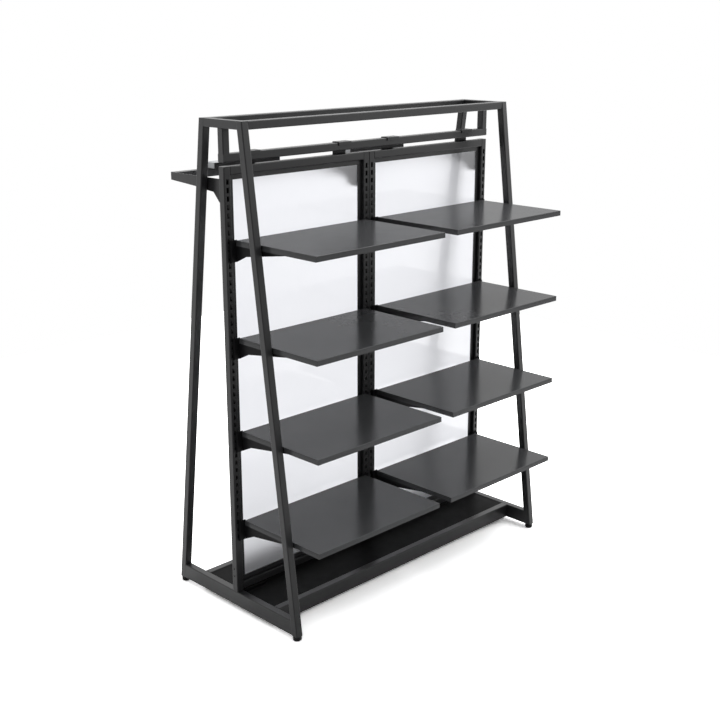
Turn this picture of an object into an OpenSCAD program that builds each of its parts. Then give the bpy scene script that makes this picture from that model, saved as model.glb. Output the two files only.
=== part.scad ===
// Gondola shelving unit: two slotted back-frame bays hung in a pair of tapered end frames.
// Millimetres. Origin at the floor centre, X along the row, the shelves face -Y, Z up.

/* [Overall] */
// length of the unit along X
unit_length = 1200; // [1000:10:1600]
// height of the end frames
unit_height = 1565; // [1565:5:1700]
// depth of the end frames at the floor, front to rear
base_depth = 595; // [540:5:700]
// depth of the end frames at the top, front to rear
top_depth = 197; // [160:1:260]

/* [Tube] */
// side of the square tube
tube = 25; // [25:1:26]
// tube wall thickness
wall = 1.5; // [1.2:0.1:2]
// outside corner radius of the tube
corner_radius = 3; // [2:0.5:4]
// height of the tall tube at the foot of each end frame
base_tube_height = 50; // [40:1:60]

/* [Shelves] */
// depth of a shelf board, front to rear
board_depth = 347; // [320:1:360]
// thickness of a shelf board
board_thickness = 17; // [17:1:22]
// height of the lowest shelf top above the floor
lowest_shelf = 313.5; // [313.5:25:338.5]
// slot steps between one shelf and the next
slots_per_shelf = 12; // [10:1:12]

/* [Slots] */
// vertical distance from one slot to the next
slot_pitch = 25; // [25]
// width of a slot
slot_width = 9; // [7:0.5:10]
// height of a slot
slot_height = 16; // [14:0.5:17]
// number of slots in each column
slot_count = 46; // [46:1:50]

/* [Levelling feet] */
// diameter of the foot pad
foot_diameter = 27; // [24:1:32]
// height of the foot pad under the leg
foot_height = 15; // [12:1:20]
// diameter of the foot's stem
stem_diameter = 8; // [6:1:10]

/* [Hidden] */
$fn = 48;
// how far a cutting solid runs past the face it cuts
cut = 1;

half_length = unit_length / 2;
bay_length = unit_length / 2;
inner_tube = tube - 2 * wall;
inner_radius = corner_radius - wall;

// end frames
end_x = half_length - tube;
lean = atan((base_depth - top_depth) / 2 / (unit_height - foot_height));
leg_width = tube / cos(lean);
leg_foot_y = base_depth / 2 - leg_width / 2;
leg_top_y = top_depth / 2 - leg_width / 2;
leg_plate = 3;
leg_cap = 1.5;
base_top = foot_height + base_tube_height;
leg_overrun = 30;
base_tube_setback = 7;
base_tube_half = leg_foot_y - base_tube_setback;
stem_clearance = 0.3;
// the frame's cross tubes sit just inside the legs' faces
cross_inset = 0.2;
cross_width = tube - 2 * cross_inset;

// levelling feet
foot_radius = foot_diameter / 2;
foot_chamfer = 3;
foot_edge = 1.5;
foot_gap = 0.1;
collar_height = 2.4;
collar_top = foot_height - foot_gap;
pad_top = collar_top - collar_height;
stem_top = 50;

// top rails and crossbar
top_z = unit_height - tube;
rail_y = top_depth / 2 - tube;
drop_height = 72.5;
crossbar_z = top_z - drop_height - tube;

// bay back frames
bay_top = 1430;
upright_width = 25;
upright_y = tube / 2;
bay_rail_z = bay_top - tube;
bottom_rail_z = 70;
inner_bay = bay_length - 2 * upright_width;
slot_top_z = 1386;
slot_x = upright_width / 2;
joining_hole_diameter = 5;
joining_hole_z = [119, 144];

// panel and its rim
rim_width = 15.5;
rim_front_y = -1.5;
rim_step_y = 2;
rim_back_y = 9;
rim_web = 4;
rim_bottom_z = bottom_rail_z + tube;
panel_thickness = 4;
panel_gap = 0.2;

// shelf boards, placed from the bay's left edge
sheet = 1.2;
board_inset = 29;
board_length = bay_length - 2 * board_inset;
board_back_y = -24;
board_front_y = board_back_y - board_depth;
board_edge = 1.5;
board_return = 12;
board_notch = 5;
// fine groove round the board's edge
seam_below_top = 5;
seam_height = 1;
seam_depth = 0.6;
board_gap = 0.1;
shelf_tops = [for (i = [0 : 3]) lowest_shelf + (3 - i) * slots_per_shelf * slot_pitch];

// plates hooked in the slots
plate = 2.5;
hook_gap = 0.1;
hook_neck = 7;
hook_drop = 6.5;
hook_overlap = 0.4;
hook_count = 3;
root_gap = 0.1;
arm_x = 31;
joggle_y = 20;

// shelf bracket, heights from the shelf's top
bracket_reach = 320;
bracket_top = -sheet - board_gap;
bracket_root_top = 1;
bracket_root_bottom = -70;
bracket_heel_y = 64;
bracket_heel = -45;
bracket_tip = -5.4;
bracket_flange = 15;
bracket_seat_setback = 6;
hook_below_shelf = 2.5;

// rear hang rail
hang_top = bay_top - 42;
hang_back_y = 287;
hang_height = 24;
hang_wall = 2;
hang_root = 70;
// underside of the arm, as distance behind the frames' middle plane and height from the arm's top
hang_underside = [[166, -32], [115, -38], [76, -41], [49, -hang_root]];

// ticket channel on the hang rail
ticket_length = 272;
ticket_front_y = 241;
ticket_back_y = 292;
ticket_top = hang_top + 20;
ticket_wall = 2;

// saddles
saddle_width = 55;
saddle_plate = 3;
saddle_lip = 9;
saddle_bend = 2.5;
saddle_rear_z = bay_rail_z + 2;
saddle_x = 189;

// base
stretcher_y = 162.5;
deck_gap = 0.5;
deck_sheet = 2;
deck_drop = 30;
deck_recess = 2;
notch_depth = 13.5;
notch_inner_x = 475;
notch_slope = 25;

body_colour = [0.2, 0.21, 0.22];
board_colour = [0.42, 0.43, 0.44];
panel_colour = [0.92, 0.95, 0.96];
deck_colour = [0.09, 0.09, 0.1];
plastic_colour = [0.07, 0.07, 0.08];
insert_colour = [0.66, 0.67, 0.68];

// rectangle with round corners, lower left corner at the origin
module round_rect(w, h, r) {
  translate([r, 0]) square([w - 2 * r, h]);
  translate([0, r]) square([w, h - 2 * r]);
  for (x = [r, w - r], y = [r, h - r])
    translate([x, y]) circle(r);
}

// rectangle with only its upper corners rounded
module round_top_rect(w, h, r) {
  square([w, h - r]);
  translate([r, 0]) square([w - 2 * r, h]);
  for (x = [r, w - r])
    translate([x, h - r]) circle(r);
}

// extrudes a drawing of Y and Z along X
module along_x(length) {
  rotate([90, 0, 90]) linear_extrude(length) children();
}

// extrudes a drawing of X and Z towards the rear
module along_y(length) {
  translate([0, length, 0]) rotate([90, 0, 0]) linear_extrude(length) children();
}

module tube_section(w, h) {
  difference() {
    round_rect(w, h, corner_radius);
    translate([wall, wall]) round_rect(w - 2 * wall, h - 2 * wall, inner_radius);
  }
}

module tube_along_x(length, depth, height) {
  along_x(length) tube_section(depth, height);
}

module in_bay(bay) {
  translate([(bay - 1) * bay_length - half_length, 0, 0]) children();
}

// mirrors a left-hand piece to the right end of its bay
module handed(right) {
  if (right)
    translate([bay_length, 0, 0]) mirror([1, 0, 0]) children();
  else
    children();
}

// ---- end frames ----

// one leg's prism, before trimming to the floor and the top
module leg_prism(side, w) {
  translate([0, side * leg_foot_y, foot_height])
    rotate([side * lean, 0, 0])
      translate([-w / 2, -w / 2, -leg_overrun])
        linear_extrude(unit_height + 2 * leg_overrun) children();
}

module end_frame_solid() {
  intersection() {
    union() {
      for (side = [-1, 1])
        leg_prism(side, tube) round_rect(tube, tube, corner_radius);
      translate([-cross_width / 2, -leg_top_y, top_z])
        along_y(2 * leg_top_y) round_rect(cross_width, tube, corner_radius);
      translate([-cross_width / 2, -base_tube_half, foot_height])
        along_y(2 * base_tube_half) round_rect(cross_width, base_tube_height, corner_radius);
    }
    translate([-tube, -base_depth, foot_height])
      cube([2 * tube, 2 * base_depth, unit_height - foot_height]);
  }
}

module end_frame_cavity() {
  inner_cross = cross_width - 2 * wall;
  intersection() {
    union() {
      for (side = [-1, 1])
        leg_prism(side, inner_tube) square(inner_tube);
      translate([-inner_cross / 2, -leg_top_y, top_z + wall])
        cube([inner_cross, 2 * leg_top_y, inner_tube]);
      translate([-inner_cross / 2, -base_tube_half, foot_height + leg_plate])
        cube([inner_cross, 2 * base_tube_half, base_tube_height - leg_plate - wall]);
    }
    translate([-tube, -base_depth, foot_height + leg_plate])
      cube([2 * tube, 2 * base_depth, unit_height - leg_cap - foot_height - leg_plate]);
  }
}

module end_frame(x) {
  translate([x, 0, 0])
    difference() {
      end_frame_solid();
      end_frame_cavity();
      for (side = [-1, 1])
        translate([0, side * leg_foot_y, foot_height - cut])
          cylinder(d = stem_diameter + 2 * stem_clearance, h = leg_plate + 2 * cut);
    }
}

module end_frame_left() {
  color(body_colour) end_frame(-half_length + tube / 2);
}

module end_frame_right() {
  color(body_colour) end_frame(half_length - tube / 2);
}

// ---- top rails and the drop frame ----

module top_rail(y) {
  translate([-end_x, y, top_z]) tube_along_x(2 * end_x, tube, tube);
}

module top_rail_front() {
  color(body_colour) top_rail(-rail_y - tube);
}

module top_rail_rear() {
  color(body_colour) top_rail(rail_y);
}

// crossbar with a post standing on each end, the posts open at the top
module drop_frame() {
  color(body_colour)
    difference() {
      union() {
        translate([-half_length, -tube / 2, crossbar_z])
          along_x(unit_length) round_rect(tube, tube, corner_radius);
        for (x = [-half_length, end_x])
          translate([x, -tube / 2, crossbar_z + corner_radius])
            linear_extrude(drop_height + tube - corner_radius) round_rect(tube, tube, corner_radius);
      }
      translate([-half_length + wall, -inner_tube / 2, crossbar_z + wall])
        along_x(unit_length - 2 * wall) round_rect(inner_tube, inner_tube, inner_radius);
      for (x = [-half_length, end_x])
        translate([x + wall, -inner_tube / 2, crossbar_z + tube / 2])
          linear_extrude(drop_height + tube) round_rect(inner_tube, inner_tube, inner_radius);
    }
}

// ---- base ----

// tube between the end frames' base tubes, its top level with theirs
module base_rail(y, height, colour = body_colour) {
  half = end_x + cross_inset;
  color(colour)
    translate([-half, y, base_top - height]) tube_along_x(2 * half, tube, height);
}

module stretcher_front() {
  base_rail(-stretcher_y - tube, base_tube_height);
}

module stretcher_rear() {
  base_rail(stretcher_y, base_tube_height);
}

module centre_rail() {
  base_rail(-tube / 2, tube, deck_colour);
}

// folded deck tray between the front stretcher and the centre rail, notched beside the outer uprights
module deck_tray() {
  half = end_x - deck_gap;
  depth = stretcher_y - tube / 2;
  top = base_top - deck_recess;
  notch_y = depth - notch_depth;
  translate([-half, -stretcher_y, top - deck_drop])
    difference() {
      along_x(2 * half)
        difference() {
          square([depth, deck_drop]);
          translate([deck_sheet, -cut])
            square([depth - 2 * deck_sheet, deck_drop - deck_sheet + cut]);
        }
      for (side = [0, 1])
        translate([side * 2 * half, 0, -cut])
          mirror([side, 0, 0])
            linear_extrude(deck_drop + 2 * cut)
              polygon([
                [-cut, notch_y],
                [half - notch_inner_x - notch_slope, notch_y],
                [half - notch_inner_x, depth],
                [half - notch_inner_x, depth + cut],
                [-cut, depth + cut]
              ]);
    }
}

module deck_front() {
  color(deck_colour) deck_tray();
}

module deck_rear() {
  color(deck_colour) rotate([0, 0, 180]) deck_tray();
}

// ---- feet ----

module foot(x, y) {
  color(plastic_colour)
    translate([x, y, 0])
      union() {
        rotate_extrude()
          polygon([
            [0, 0],
            [foot_radius - foot_chamfer, 0],
            [foot_radius, foot_chamfer],
            [foot_radius, pad_top - foot_edge],
            [foot_radius - foot_edge, pad_top],
            [stem_diameter, pad_top],
            [stem_diameter, collar_top],
            [0, collar_top]
          ]);
        cylinder(d = stem_diameter, h = stem_top);
      }
}

module foot_front_left() {
  foot(-half_length + tube / 2, -leg_foot_y);
}

module foot_front_right() {
  foot(half_length - tube / 2, -leg_foot_y);
}

module foot_rear_left() {
  foot(-half_length + tube / 2, leg_foot_y);
}

module foot_rear_right() {
  foot(half_length - tube / 2, leg_foot_y);
}

// ---- bay back frames ----

// left-hand upright, closed at the top, slotted front and rear; outer adds the joining holes
module upright(outer) {
  height = bay_top - base_top;
  translate([0, -upright_y, base_top])
    difference() {
      linear_extrude(height) round_rect(upright_width, tube, corner_radius);
      translate([wall, wall, -cut])
        linear_extrude(height + cut - wall)
          round_rect(upright_width - 2 * wall, tube - 2 * wall, inner_radius);
      for (i = [0 : slot_count - 1])
        translate([
          slot_x - slot_width / 2,
          -cut,
          slot_top_z - i * slot_pitch - slot_height / 2 - base_top
        ])
          cube([slot_width, tube + 2 * cut, slot_height]);
      if (outer)
        for (z = joining_hole_z)
          translate([-cut, upright_y, z - base_top])
            rotate([0, 90, 0]) cylinder(d = joining_hole_diameter, h = wall + 2 * cut);
    }
}

module bay_upright(bay, right) {
  color(body_colour) in_bay(bay) handed(right) upright(right == (bay == 2));
}

module bay1_upright_left() {
  bay_upright(1, false);
}

module bay1_upright_right() {
  bay_upright(1, true);
}

module bay2_upright_left() {
  bay_upright(2, false);
}

module bay2_upright_right() {
  bay_upright(2, true);
}

module bay_rail(bay, z) {
  color(body_colour)
    in_bay(bay)
      translate([upright_width, -upright_y, z])
        tube_along_x(inner_bay, tube, tube);
}

module bay1_top_rail() {
  bay_rail(1, bay_rail_z);
}

module bay2_top_rail() {
  bay_rail(2, bay_rail_z);
}

module bay1_bottom_rail() {
  bay_rail(1, bottom_rail_z);
}

module bay2_bottom_rail() {
  bay_rail(2, bottom_rail_z);
}

// flat rectangular ring between two insets of the bay's inner opening
module ring(outer_inset, inner_inset, y0, y1) {
  height = bay_rail_z - rim_bottom_z;
  translate([upright_width, y0, rim_bottom_z])
    along_y(y1 - y0)
      difference() {
        translate([outer_inset, outer_inset])
          square([inner_bay - 2 * outer_inset, height - 2 * outer_inset]);
        translate([inner_inset, inner_inset])
          square([inner_bay - 2 * inner_inset, height - 2 * inner_inset]);
      }
}

// rim set back from the uprights: a web around the panel's edge and a lip in front of it
module rim(bay) {
  color(body_colour)
    in_bay(bay)
      union() {
        ring(0, rim_web, rim_step_y, rim_back_y);
        ring(0, rim_width, rim_front_y, rim_step_y);
      }
}

module bay1_rim() {
  rim(1);
}

module bay2_rim() {
  rim(2);
}

module panel(bay) {
  inset = rim_web + panel_gap;
  color(panel_colour)
    in_bay(bay)
      translate([upright_width + inset, rim_step_y, rim_bottom_z + inset])
        cube([
          inner_bay - 2 * inset,
          panel_thickness,
          bay_rail_z - rim_bottom_z - 2 * inset
        ]);
}

module bay1_panel() {
  panel(1);
}

module bay2_panel() {
  panel(2);
}

// ---- saddles ----

// clip over the crossbar with a short front lip, its rear flange running down behind the bay's top rail
module saddle(x) {
  inner = tube / 2;
  outer = inner + saddle_plate;
  bar_top = crossbar_z + tube;
  color(body_colour)
    translate([x - saddle_width / 2, 0, 0])
      along_x(saddle_width)
        difference() {
          union() {
            translate([-outer, bar_top]) square([2 * outer, saddle_plate - saddle_bend]);
            translate([-outer + saddle_bend, bar_top])
              square([2 * (outer - saddle_bend), saddle_plate]);
            for (side = [-1, 1])
              translate([side * (outer - saddle_bend), bar_top + saddle_plate - saddle_bend])
                circle(saddle_bend);
            translate([-outer, bar_top - saddle_lip]) square([saddle_plate, saddle_lip]);
            translate([inner, saddle_rear_z]) square([saddle_plate, bar_top - saddle_rear_z]);
          }
          translate([-inner, bar_top - 2 * saddle_bend]) square([2 * inner, 2 * saddle_bend]);
        }
}

module saddle_1() {
  saddle(-bay_length / 2 - saddle_x);
}

module saddle_2() {
  saddle(-bay_length / 2 + saddle_x);
}

module saddle_3() {
  saddle(bay_length / 2 - saddle_x);
}

module saddle_4() {
  saddle(bay_length / 2 + saddle_x);
}

// ---- hooked plates ----

// one hook through a front slot at height z; y runs away from the upright's face
module hook(z) {
  bottom = z - slot_height / 2 + hook_gap;
  tail_y = wall + hook_gap;
  translate([slot_x - plate / 2, 0, 0]) {
    translate([0, -root_gap - hook_overlap, bottom])
      cube([plate, tail_y + plate + root_gap + hook_overlap, hook_neck]);
    translate([0, tail_y, bottom - hook_drop])
      cube([plate, plate, hook_drop + hook_neck]);
  }
}

// flat plate in the Y-Z plane at x, thickness towards +X; points give distance from the wall face and height
module side_plate(x, points) {
  translate([x, 0, 0])
    along_x(plate) polygon([for (p = points) [-p[0], p[1]]]);
}

// left-hand bracket for a shelf whose top is at z = 0, with y = 0 on the upright's face
module bracket_body() {
  face = upright_y;
  heel = bracket_heel_y - face;
  reach = bracket_reach - face;
  joggle = joggle_y - face;
  joggle_out = joggle + plate;
  // the heel's sloped edge carried on to the root
  heel_slope = (bracket_heel - bracket_root_bottom) / heel;
  side_plate(arm_x, [
    [joggle, bracket_root_top],
    [joggle_out, bracket_root_top],
    [joggle_out, bracket_top],
    [reach, bracket_top],
    [reach, bracket_tip],
    [heel, bracket_heel],
    [joggle, bracket_root_bottom + heel_slope * joggle]
  ]);
  // joggle from the arm across to the slot column
  translate([slot_x - plate / 2, -joggle_out, bracket_root_bottom + heel_slope * joggle_out])
    cube([
      arm_x - slot_x + 1.5 * plate,
      plate,
      bracket_root_top - bracket_root_bottom - heel_slope * joggle_out
    ]);
  side_plate(slot_x - plate / 2, [
    [root_gap, bracket_root_top],
    [joggle_out, bracket_root_top],
    [joggle_out, bracket_root_bottom + heel_slope * joggle_out],
    [root_gap, bracket_root_bottom]
  ]);
  // seat under the board
  translate([arm_x, -reach, bracket_top - plate])
    cube([bracket_flange, reach - joggle_out - bracket_seat_setback, plate]);
}

module bracket(bay, right, level) {
  color(body_colour)
    in_bay(bay)
      handed(right)
        translate([0, -upright_y, shelf_tops[level - 1]])
          union() {
            bracket_body();
            for (i = [0 : hook_count - 1]) hook(-hook_below_shelf - i * slot_pitch);
          }
}

module bay1_bracket_left_1() {
  bracket(1, false, 1);
}

module bay1_bracket_left_2() {
  bracket(1, false, 2);
}

module bay1_bracket_left_3() {
  bracket(1, false, 3);
}

module bay1_bracket_left_4() {
  bracket(1, false, 4);
}

module bay1_bracket_right_1() {
  bracket(1, true, 1);
}

module bay1_bracket_right_2() {
  bracket(1, true, 2);
}

module bay1_bracket_right_3() {
  bracket(1, true, 3);
}

module bay1_bracket_right_4() {
  bracket(1, true, 4);
}

module bay2_bracket_left_1() {
  bracket(2, false, 1);
}

module bay2_bracket_left_2() {
  bracket(2, false, 2);
}

module bay2_bracket_left_3() {
  bracket(2, false, 3);
}

module bay2_bracket_left_4() {
  bracket(2, false, 4);
}

module bay2_bracket_right_1() {
  bracket(2, true, 1);
}

module bay2_bracket_right_2() {
  bracket(2, true, 2);
}

module bay2_bracket_right_3() {
  bracket(2, true, 3);
}

module bay2_bracket_right_4() {
  bracket(2, true, 4);
}

// ---- shelf boards ----

// groove round the edge of a board whose top is at z
module seam(z) {
  translate([board_inset, board_front_y, z - seam_below_top])
    difference() {
      translate([-cut, -cut, 0])
        cube([board_length + 2 * cut, board_depth + 2 * cut, seam_height]);
      translate([seam_depth, seam_depth, -cut])
        cube([board_length - 2 * seam_depth, board_depth - 2 * seam_depth, seam_height + 2 * cut]);
    }
}

// folded tray, open beneath, with returns along its front and back edges
module board(bay, level) {
  top = shelf_tops[level - 1];
  base = top - board_thickness;
  inner_length = board_length - 2 * sheet;
  inner_depth = board_depth - 2 * sheet;
  inner_height = board_thickness - sheet;
  inner_edge = board_edge - sheet / 2;
  color(board_colour)
    in_bay(bay)
      difference() {
        union() {
          difference() {
            intersection() {
              translate([board_inset, board_front_y, base])
                along_x(board_length) round_top_rect(board_depth, board_thickness, board_edge);
              translate([board_inset, board_front_y, base])
                along_y(board_depth) round_top_rect(board_length, board_thickness, board_edge);
            }
            translate([board_inset + sheet, board_front_y + sheet, base - cut])
              cube([inner_length, inner_depth, inner_height + cut]);
          }
          for (y = [board_front_y + inner_edge, board_back_y - board_return])
            translate([board_inset + 2 * board_notch + bracket_flange, y, base])
              cube([
                board_length - 4 * board_notch - 2 * bracket_flange,
                board_return - inner_edge,
                sheet
              ]);
        }
        seam(top);
        // notches in the back wall for the bracket arms
        for (x = [board_inset + sheet, board_inset + board_length - sheet - board_notch])
          translate([x, board_back_y - 2 * sheet, base - cut])
            cube([board_notch, 3 * sheet, inner_height + cut]);
      }
}

module bay1_board_1() {
  board(1, 1);
}

module bay1_board_2() {
  board(1, 2);
}

module bay1_board_3() {
  board(1, 3);
}

module bay1_board_4() {
  board(1, 4);
}

module bay2_board_1() {
  board(2, 1);
}

module bay2_board_2() {
  board(2, 2);
}

module bay2_board_3() {
  board(2, 3);
}

module bay2_board_4() {
  board(2, 4);
}

// ---- rear hang rails ----

// rear arm with its top at z = 0, and y = 0 on the upright's rear face
module hang_arm() {
  face = upright_y;
  joggle = joggle_y - face;
  joggle_out = joggle + plate;
  side_plate(arm_x - plate, concat(
    [[joggle, 0], [hang_back_y - face, 0], [hang_back_y - face, -hang_height]],
    [for (p = hang_underside) [p[0] - face, p[1]]],
    [[joggle, -hang_root]]
  ));
  translate([slot_x - plate / 2, -joggle_out, -hang_root])
    cube([arm_x - slot_x + plate / 2, plate, hang_root]);
  side_plate(slot_x - plate / 2, [
    [root_gap, 0],
    [joggle_out, 0],
    [joggle_out, -hang_root],
    [root_gap, -hang_root]
  ]);
}

// channel across the arms' ends, open beneath
module hang_bar() {
  length = bay_length - 2 * arm_x;
  translate([arm_x, hang_back_y - tube, hang_top - hang_height])
    along_x(length)
      difference() {
        square([tube, hang_height]);
        translate([hang_wall, -cut])
          square([tube - 2 * hang_wall, hang_height - hang_wall + cut]);
      }
}

module hang_rail(bay) {
  color(body_colour)
    in_bay(bay)
      union() {
        for (right = [false, true])
          handed(right)
            mirror([0, 1, 0])
              translate([0, -upright_y, hang_top]) {
                hang_arm();
                for (i = [0 : hook_count - 1]) hook(slot_top_z - hang_top - i * slot_pitch);
              }
        hang_bar();
      }
}

module bay1_hang_rail() {
  hang_rail(1);
}

module bay2_hang_rail() {
  hang_rail(2);
}

// dark face with a lower lip that clips over the front of the hang bar
module ticket_channel(bay) {
  color(plastic_colour)
    in_bay(bay)
      translate([(bay_length - ticket_length) / 2, 0, 0])
        along_x(ticket_length)
          union() {
            translate([ticket_front_y, hang_top]) square([ticket_wall, ticket_top - hang_top]);
            translate([ticket_front_y, hang_top])
              square([hang_back_y - ticket_front_y, ticket_wall]);
          }
}

module bay1_ticket_channel() {
  ticket_channel(1);
}

module bay2_ticket_channel() {
  ticket_channel(2);
}

// pale block held in the channel
module ticket_insert(bay) {
  y0 = ticket_front_y + ticket_wall;
  color(insert_colour)
    in_bay(bay)
      translate([(bay_length - ticket_length) / 2, y0, hang_top + ticket_wall])
        cube([ticket_length, ticket_back_y - y0, ticket_top - hang_top - ticket_wall]);
}

module bay1_ticket_insert() {
  ticket_insert(1);
}

module bay2_ticket_insert() {
  ticket_insert(2);
}

end_frame_left();
end_frame_right();
top_rail_front();
top_rail_rear();
drop_frame();
stretcher_front();
stretcher_rear();
centre_rail();
deck_front();
deck_rear();
bay1_upright_left();
bay1_upright_right();
bay2_upright_left();
bay2_upright_right();
bay1_top_rail();
bay2_top_rail();
bay1_bottom_rail();
bay2_bottom_rail();
bay1_rim();
bay2_rim();
bay1_panel();
bay2_panel();
saddle_1();
saddle_2();
saddle_3();
saddle_4();
bay1_hang_rail();
bay2_hang_rail();
bay1_ticket_channel();
bay2_ticket_channel();
bay1_ticket_insert();
bay2_ticket_insert();
bay1_board_1();
bay1_board_2();
bay1_board_3();
bay1_board_4();
bay2_board_1();
bay2_board_2();
bay2_board_3();
bay2_board_4();
bay1_bracket_left_1();
bay1_bracket_left_2();
bay1_bracket_left_3();
bay1_bracket_left_4();
bay1_bracket_right_1();
bay1_bracket_right_2();
bay1_bracket_right_3();
bay1_bracket_right_4();
bay2_bracket_left_1();
bay2_bracket_left_2();
bay2_bracket_left_3();
bay2_bracket_left_4();
bay2_bracket_right_1();
bay2_bracket_right_2();
bay2_bracket_right_3();
bay2_bracket_right_4();
foot_front_left();
foot_front_right();
foot_rear_left();
foot_rear_right();
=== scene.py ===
import bpy
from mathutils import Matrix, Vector

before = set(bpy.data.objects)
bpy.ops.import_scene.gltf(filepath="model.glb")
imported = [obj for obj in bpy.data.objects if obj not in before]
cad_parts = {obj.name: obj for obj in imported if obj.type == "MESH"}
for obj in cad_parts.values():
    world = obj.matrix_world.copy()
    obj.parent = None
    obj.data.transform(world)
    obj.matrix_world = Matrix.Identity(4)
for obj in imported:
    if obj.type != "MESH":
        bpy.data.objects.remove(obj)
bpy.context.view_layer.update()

# Every piece of the shelving unit is a CAD node, so this script gives each node a material
# and sets up the studio. Lengths are in metres.

BLACK = (0.0, 0.0, 0.0)
WHITE = (1.0, 1.0, 1.0)
UP = (0.0, 0.0, 1.0)


# ---------------------------------------------------------------- node helpers

def new_material(name):
    material = bpy.data.materials.new(name)
    material.use_nodes = True
    tree = material.node_tree
    tree.nodes.clear()
    return material, tree


def set_inputs(tree, node, inputs):
    """Sets or links a node's inputs. A value is a number, a vector, a colour or a socket."""
    for key, value in inputs.items():
        socket = node.inputs[key]
        if isinstance(value, bpy.types.NodeSocket):
            tree.links.new(value, socket)
        elif socket.type == "RGBA":
            socket.default_value = (*value, 1.0)
        else:
            socket.default_value = value


def add_node(tree, kind, inputs=None):
    node = tree.nodes.new("ShaderNode" + kind)
    set_inputs(tree, node, inputs or {})
    return node


def noise(tree, vector, pattern):
    return add_node(tree, "TexNoise", {"Vector": vector, **pattern}).outputs["Fac"]


def remap(tree, value, span, target, smooth=False):
    """Takes a value from one span to another, and holds it inside the second."""
    node = tree.nodes.new("ShaderNodeMapRange")
    node.clamp = True
    if smooth:
        node.interpolation_type = "SMOOTHSTEP"
    set_inputs(tree, node, {"Value": value, "From Min": span[0], "From Max": span[1],
                            "To Min": target[0], "To Max": target[1]})
    return node.outputs["Result"]


def arithmetic(tree, operation, a, b=0.0):
    node = tree.nodes.new("ShaderNodeMath")
    node.operation = operation
    set_inputs(tree, node, {0: a, 1: b})
    return node.outputs[0]


def dot(tree, a, b):
    node = tree.nodes.new("ShaderNodeVectorMath")
    node.operation = "DOT_PRODUCT"
    set_inputs(tree, node, {0: a, 1: b})
    return node.outputs["Value"]


def mix_values(tree, factor, a, b):
    return add_node(tree, "Mix", {"Factor": factor, "A": a, "B": b}).outputs["Result"]


def mix_colours(tree, factor, a, b):
    node = tree.nodes.new("ShaderNodeMix")
    node.data_type = "RGBA"
    set_inputs(tree, node, {"Factor": factor, "A": a, "B": b})
    return node.outputs["Result"]


def mix_shaders(tree, factor, a, b):
    return add_node(tree, "MixShader", {"Fac": factor, 1: a, 2: b}).outputs[0]


def scaled(colour, factor):
    return tuple(channel * factor for channel in colour)


def object_coordinates(tree):
    return add_node(tree, "TexCoord").outputs["Object"]


def geometry(tree, output):
    return add_node(tree, "NewGeometry").outputs[output]


def finish_material(tree, surface):
    add_node(tree, "OutputMaterial", {"Surface": surface})


# ---------------------------------------------------------------- coatings

# nearly all of a noise pattern's values lie in this span
NOISE_SPAN = (0.3, 0.7)
MOTTLE = {"Scale": 5.0, "Detail": 5.0, "Roughness": 0.5}
SMEAR = {"Scale": 22.0, "Detail": 6.0, "Roughness": 0.65}
GRAIN = {"Detail": 3.0, "Roughness": 0.6}
ROUGHNESS_SPREAD = 0.12
PEEL_STRENGTH = 0.35

# edges: how far the rounded normal turns there, as 1 less the cosine, then the part of the
# smear pattern that rubs them and how bare they get
EDGE_TURN = (0.002, 0.05)
EDGE_SAMPLES = 4
SMEAR_SPAN = (0.45, 0.7)
WEAR = (0.035, 0.35)

# painted shade on upright faces: how far up or down a normal points, from the last upright face to
# the first level one
LEVEL_SPAN = (0.3, 0.7)

# painted shade in hollows, such as the slots: how far other faces are looked for, and how dark a
# hollow is painted
CAVITY_REACH = 0.03
CAVITY_SAMPLES = 4
CAVITY_SPAN = (0.1, 0.45)
CAVITY_DARKEST = 0.12


def rounded_normal(tree, radius):
    bevel = add_node(tree, "Bevel", {"Radius": radius})
    bevel.samples = EDGE_SAMPLES
    return bevel.outputs["Normal"]


def grainy_normal(tree, coordinates, scale, strength, depth, more=None):
    """A normal with a fine grain. More inputs of the bump node can be given."""
    height = noise(tree, coordinates, {"Scale": scale, **GRAIN})
    inputs = {"Height": height, "Strength": strength, "Distance": depth, **(more or {})}
    return add_node(tree, "Bump", inputs).outputs["Normal"]


def rubbed_edges(tree, smear, true_normal, rounded):
    """How bare the coating is rubbed: not at all on flat faces, and in smears along edges."""
    turned = arithmetic(tree, "SUBTRACT", 1.0, dot(tree, rounded, true_normal))
    edges = remap(tree, turned, EDGE_TURN, (0.0, 1.0))
    return arithmetic(tree, "MULTIPLY", edges, remap(tree, smear, SMEAR_SPAN, WEAR))


def painted_shade(tree, true_normal, side_shade):
    """Painted shade: 1 on level faces, a set share on upright ones and less in hollows, to darken
    colour and gloss.
    """
    level = arithmetic(tree, "ABSOLUTE", dot(tree, true_normal, UP))
    painted_side_shade = remap(tree, level, LEVEL_SPAN, (side_shade, 1.0))
    # painted shade: a hollow darkens by how closely other faces surround it
    hollow = add_node(tree, "AmbientOcclusion", {"Distance": CAVITY_REACH})
    hollow.samples = CAVITY_SAMPLES
    painted_hollow_shade = remap(tree, hollow.outputs["AO"], CAVITY_SPAN, (CAVITY_DARKEST, 1.0))
    return arithmetic(tree, "MULTIPLY", painted_side_shade, painted_hollow_shade)


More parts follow.
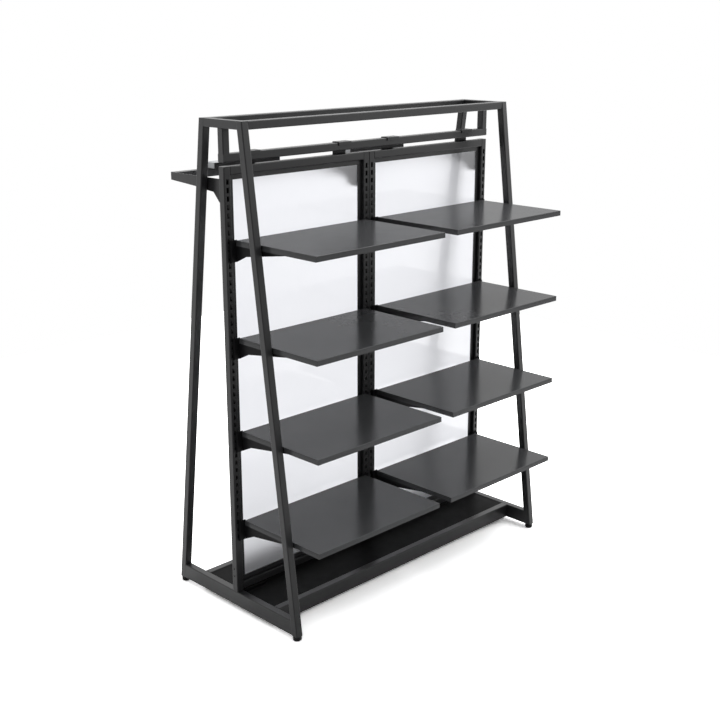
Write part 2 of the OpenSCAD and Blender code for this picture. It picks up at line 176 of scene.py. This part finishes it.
def coating(name, colour, worn, roughness, gloss=1.0, ior=1.5, grain=900.0, peel=0.00002,
            edge=0.0008, spread=0.12, side_shade=1.0):
    """Powder coat or moulded plastic: mottled colour, uneven sheen, orange peel, rubbed edges, and
    painted shade on upright faces and in hollows.

    worn is the colour of rubbed edges, peel the depth of the orange peel, edge the radius of the
    edges, spread how far the mottle strays from the colour, and the last argument the share of
    colour and gloss that upright faces keep beside level ones, as painted shade.
    """
    material, tree = new_material(name)
    coordinates = object_coordinates(tree)
    smear = noise(tree, coordinates, SMEAR)
    true_normal = geometry(tree, "Normal")
    rounded = rounded_normal(tree, edge)
    painted_light_share = painted_shade(tree, true_normal, side_shade)
    rubbed = rubbed_edges(tree, smear, true_normal, rounded)

    mottle = remap(tree, noise(tree, coordinates, MOTTLE), NOISE_SPAN, (0.0, 1.0))
    body = mix_colours(tree, mottle, scaled(colour, 1 - spread), scaled(colour, 1 + spread))
    # painted shade: the colour darkens on upright faces and in hollows
    shaded = mix_colours(tree, painted_light_share, BLACK, body)
    painted = mix_colours(tree, rubbed, shaded, worn)

    normal = grainy_normal(tree, coordinates, grain, PEEL_STRENGTH, peel, {"Normal": rounded})
    roughness_span = (roughness * (1 - ROUGHNESS_SPREAD), roughness * (1 + ROUGHNESS_SPREAD))
    matt = add_node(tree, "BsdfDiffuse", {"Color": painted, "Normal": normal})
    satin = add_node(tree, "BsdfPrincipled", {
        "Base Color": painted,
        "Roughness": remap(tree, smear, NOISE_SPAN, roughness_span),
        "IOR": ior,
        "Normal": normal,
    })
    # the painted shade dulls the gloss as well
    shine = arithmetic(tree, "MULTIPLY", painted_light_share, gloss)
    finish_material(tree, mix_shaders(tree, shine, matt.outputs[0], satin.outputs[0]))
    return material


# ---------------------------------------------------------------- frosted sheet

CLOUD = {"Scale": 3.0, "Detail": 4.0, "Roughness": 0.5}
CLOUD_SHADE = 0.99
FROST_ROUGHNESS = (0.45, 0.49)
FROST_IOR = 1.3
FROST_SCATTER = 0.12
SPECK_SCALE = 700.0
SPECK_STRENGTH = 0.15
SPECK_DEPTH = 0.00002
SHINE_ROUGHNESS = 0.03
SHINE_IOR = 1.75


def frosted(name, colour):
    """Frosted pale sheet: passing light spreads, a little scatters, and the surface is glossy."""
    material, tree = new_material(name)
    coordinates = object_coordinates(tree)
    cloud = noise(tree, coordinates, CLOUD)
    tint = mix_colours(tree, cloud, scaled(colour, CLOUD_SHADE), colour)

    haze = remap(tree, cloud, NOISE_SPAN, FROST_ROUGHNESS)
    through = add_node(tree, "BsdfRefraction",
                       {"Color": tint, "Roughness": haze, "IOR": FROST_IOR})
    scatter = add_node(tree, "BsdfTranslucent", {"Color": tint})
    body = mix_shaders(tree, FROST_SCATTER, through.outputs[0], scatter.outputs[0])

    speck = grainy_normal(tree, coordinates, SPECK_SCALE, SPECK_STRENGTH, SPECK_DEPTH)
    shine = add_node(tree, "BsdfGlossy",
                     {"Color": WHITE, "Roughness": SHINE_ROUGHNESS, "Normal": speck})
    fresnel = add_node(tree, "Fresnel", {"IOR": SHINE_IOR}).outputs[0]
    outside = arithmetic(tree, "SUBTRACT", 1.0, geometry(tree, "Backfacing"))
    shown = arithmetic(tree, "MULTIPLY", fresnel, outside)
    finish_material(tree, mix_shaders(tree, shown, body, shine.outputs[0]))
    return material


# ---------------------------------------------------------------- materials of the nodes

frame_paint = coating(
    "frame_paint", colour=(0.0105, 0.0108, 0.0115), worn=(0.05, 0.052, 0.056), roughness=0.36)
# a darker, duller copy of the frame's black coat: partly the brackets' own coat, partly painted
# shade from the boards above them
bracket_paint_and_shade = coating(
    "bracket_paint_and_shade", colour=(0.005, 0.005, 0.0055), worn=(0.03, 0.031, 0.033), roughness=0.4,
    gloss=0.3, edge=0.0005)
# board fronts and ends keep 0.68 of the colour and gloss of the tops: painted shade
shelf_paint = coating(
    "shelf_paint", colour=(0.043, 0.0437, 0.0457), worn=(0.08, 0.082, 0.086), roughness=0.2,
    gloss=0.38, ior=2.0, peel=0.00001, edge=0.0006, spread=0.04, side_shade=0.68)
deck_paint = coating(
    "deck_paint", colour=(0.0037, 0.0037, 0.004), worn=(0.015, 0.015, 0.016), roughness=0.5,
    gloss=0.23, peel=0.00001)
black_plastic = coating(
    "black_plastic", colour=(0.006, 0.006, 0.0065), worn=(0.03, 0.03, 0.03), roughness=0.45,
    gloss=0.7, grain=1400.0)
pale_insert = coating(
    "pale_insert", colour=(0.36, 0.37, 0.38), worn=(0.5, 0.5, 0.5), roughness=0.5,
    grain=1200.0, spread=0.04)
frosted_panel = frosted("frosted_panel", colour=(0.943, 0.947, 0.966))

# the first of these words that is in a node's name picks its material
MATERIAL_WORDS = (
    ("board", shelf_paint),
    ("panel", frosted_panel),
    ("deck", deck_paint),
    ("centre_rail", deck_paint),
    ("foot", black_plastic),
    ("channel", black_plastic),
    ("insert", pale_insert),
    ("bracket", bracket_paint_and_shade),
)


def material_of(node):
    for word, material in MATERIAL_WORDS:
        if word in node:
            return material
    return frame_paint


for node_name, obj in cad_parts.items():
    obj.data.materials.clear()
    obj.data.materials.append(material_of(node_name))


# ---------------------------------------------------------------- studio

# the level direction from the camera to the unit, in which the studio is brightest
AWAY = (0.7071, 0.7071, 0.0)
TOWARDS = scaled(AWAY, -1.0)

# how bright the studio looks in the paint, from behind the camera to beyond the unit, and how
# far along AWAY a reflected ray points where one turns into the other
STUDIO_BRIGHTNESS = (0.36, 1.31)
STUDIO_TURN = (-0.17, 0.16)

# how bright the world is where it lights the unit, and where it shows through the panels
WORLD_STRENGTH = 1.0
BACKDROP_STRENGTH = 1.17

# the floor's half side, and its colour where it lights the unit and where the camera sees it
FLOOR_HALF = 3.2
FLOOR_PALE = (0.88, 0.88, 0.88)
FLOOR_BLEACHED = (2.0, 2.0, 2.0)

# the photograph's viewpoint, with the lens and the sensor in millimetres
CAMERA_PLACE = (-2.6761, -2.6549, 1.8309)
CAMERA_TARGET = (-0.015, 0.015, 0.721)
CAMERA_LENS = 57.26
CAMERA_SENSOR = 36.0


def reflected_studio(tree, away):
    """How bright the studio looks in the paint, by how far a reflected ray points away."""
    return remap(tree, away, STUDIO_TURN, STUDIO_BRIGHTNESS, smooth=True)


def reflected_ray(tree, path):
    """1 for a ray that paint reflects. Rays through the panels, glossy as well, are left out."""
    not_through = arithmetic(tree, "SUBTRACT", 1.0, path["Is Transmission Ray"])
    return arithmetic(tree, "MULTIPLY", path["Is Glossy Ray"], not_through)


def add_object(name, data):
    obj = bpy.data.objects.new(name, data)
    bpy.context.scene.collection.objects.link(obj)
    return obj


def floor_material():
    material, tree = new_material("studio_floor")
    path = add_node(tree, "LightPath").outputs
    in_paint = reflected_studio(tree, dot(tree, geometry(tree, "Incoming"), TOWARDS))
    lighting = mix_colours(tree, reflected_ray(tree, path), FLOOR_PALE, in_paint)
    shown = mix_colours(tree, path["Is Camera Ray"], lighting, FLOOR_BLEACHED)
    finish_material(tree, add_node(tree, "BsdfDiffuse", {"Color": shown}).outputs[0])
    return material


def stage_floor():
    mesh = bpy.data.meshes.new("studio_floor")
    corners = [(x * FLOOR_HALF, y * FLOOR_HALF, 0) for x, y in ((-1, -1), (1, -1), (1, 1), (-1, 1))]
    mesh.from_pydata(corners, [], [(0, 1, 2, 3)])
    mesh.materials.append(floor_material())
    add_object("studio_floor", mesh)


def stage_world():
    world = bpy.data.worlds.new("studio")
    bpy.context.scene.world = world
    world.use_nodes = True
    tree = world.node_tree
    direction = add_node(tree, "TexCoord").outputs["Generated"]
    path = add_node(tree, "LightPath").outputs
    direct = remap(tree, path["Is Transmission Ray"], (0.0, 1.0),
                   (WORLD_STRENGTH, BACKDROP_STRENGTH))
    in_paint = reflected_studio(tree, dot(tree, direction, AWAY))
    strength = mix_values(tree, reflected_ray(tree, path), direct, in_paint)
    set_inputs(tree, tree.nodes["Background"], {"Color": WHITE, "Strength": strength})


def aim(obj, place, target):
    obj.location = place
    direction = Vector(target) - Vector(place)
    obj.rotation_euler = direction.to_track_quat("-Z", "Y").to_euler()


def area_light(name, place, target, size, power):
    data = bpy.data.lights.new(name, "AREA")
    data.size = size
    data.energy = power
    light = add_object(name, data)
    aim(light, place, target)


def place_camera():
    data = bpy.data.cameras.new("camera")
    data.sensor_width = CAMERA_SENSOR
    data.lens = CAMERA_LENS
    camera = add_object("camera", data)
    aim(camera, CAMERA_PLACE, CAMERA_TARGET)
    bpy.context.scene.camera = camera


stage_floor()
stage_world()
area_light("key", place=(3.3, -3.0, 3.0), target=(0.2, 0.0, 0.6), size=2.6, power=30.0)
area_light("overhead", place=(1.2, 0.0, 4.0), target=(0.2, 0.0, 0.0), size=3.0, power=68.0)
place_camera()
bpy.context.scene.view_settings.view_transform = "Standard"
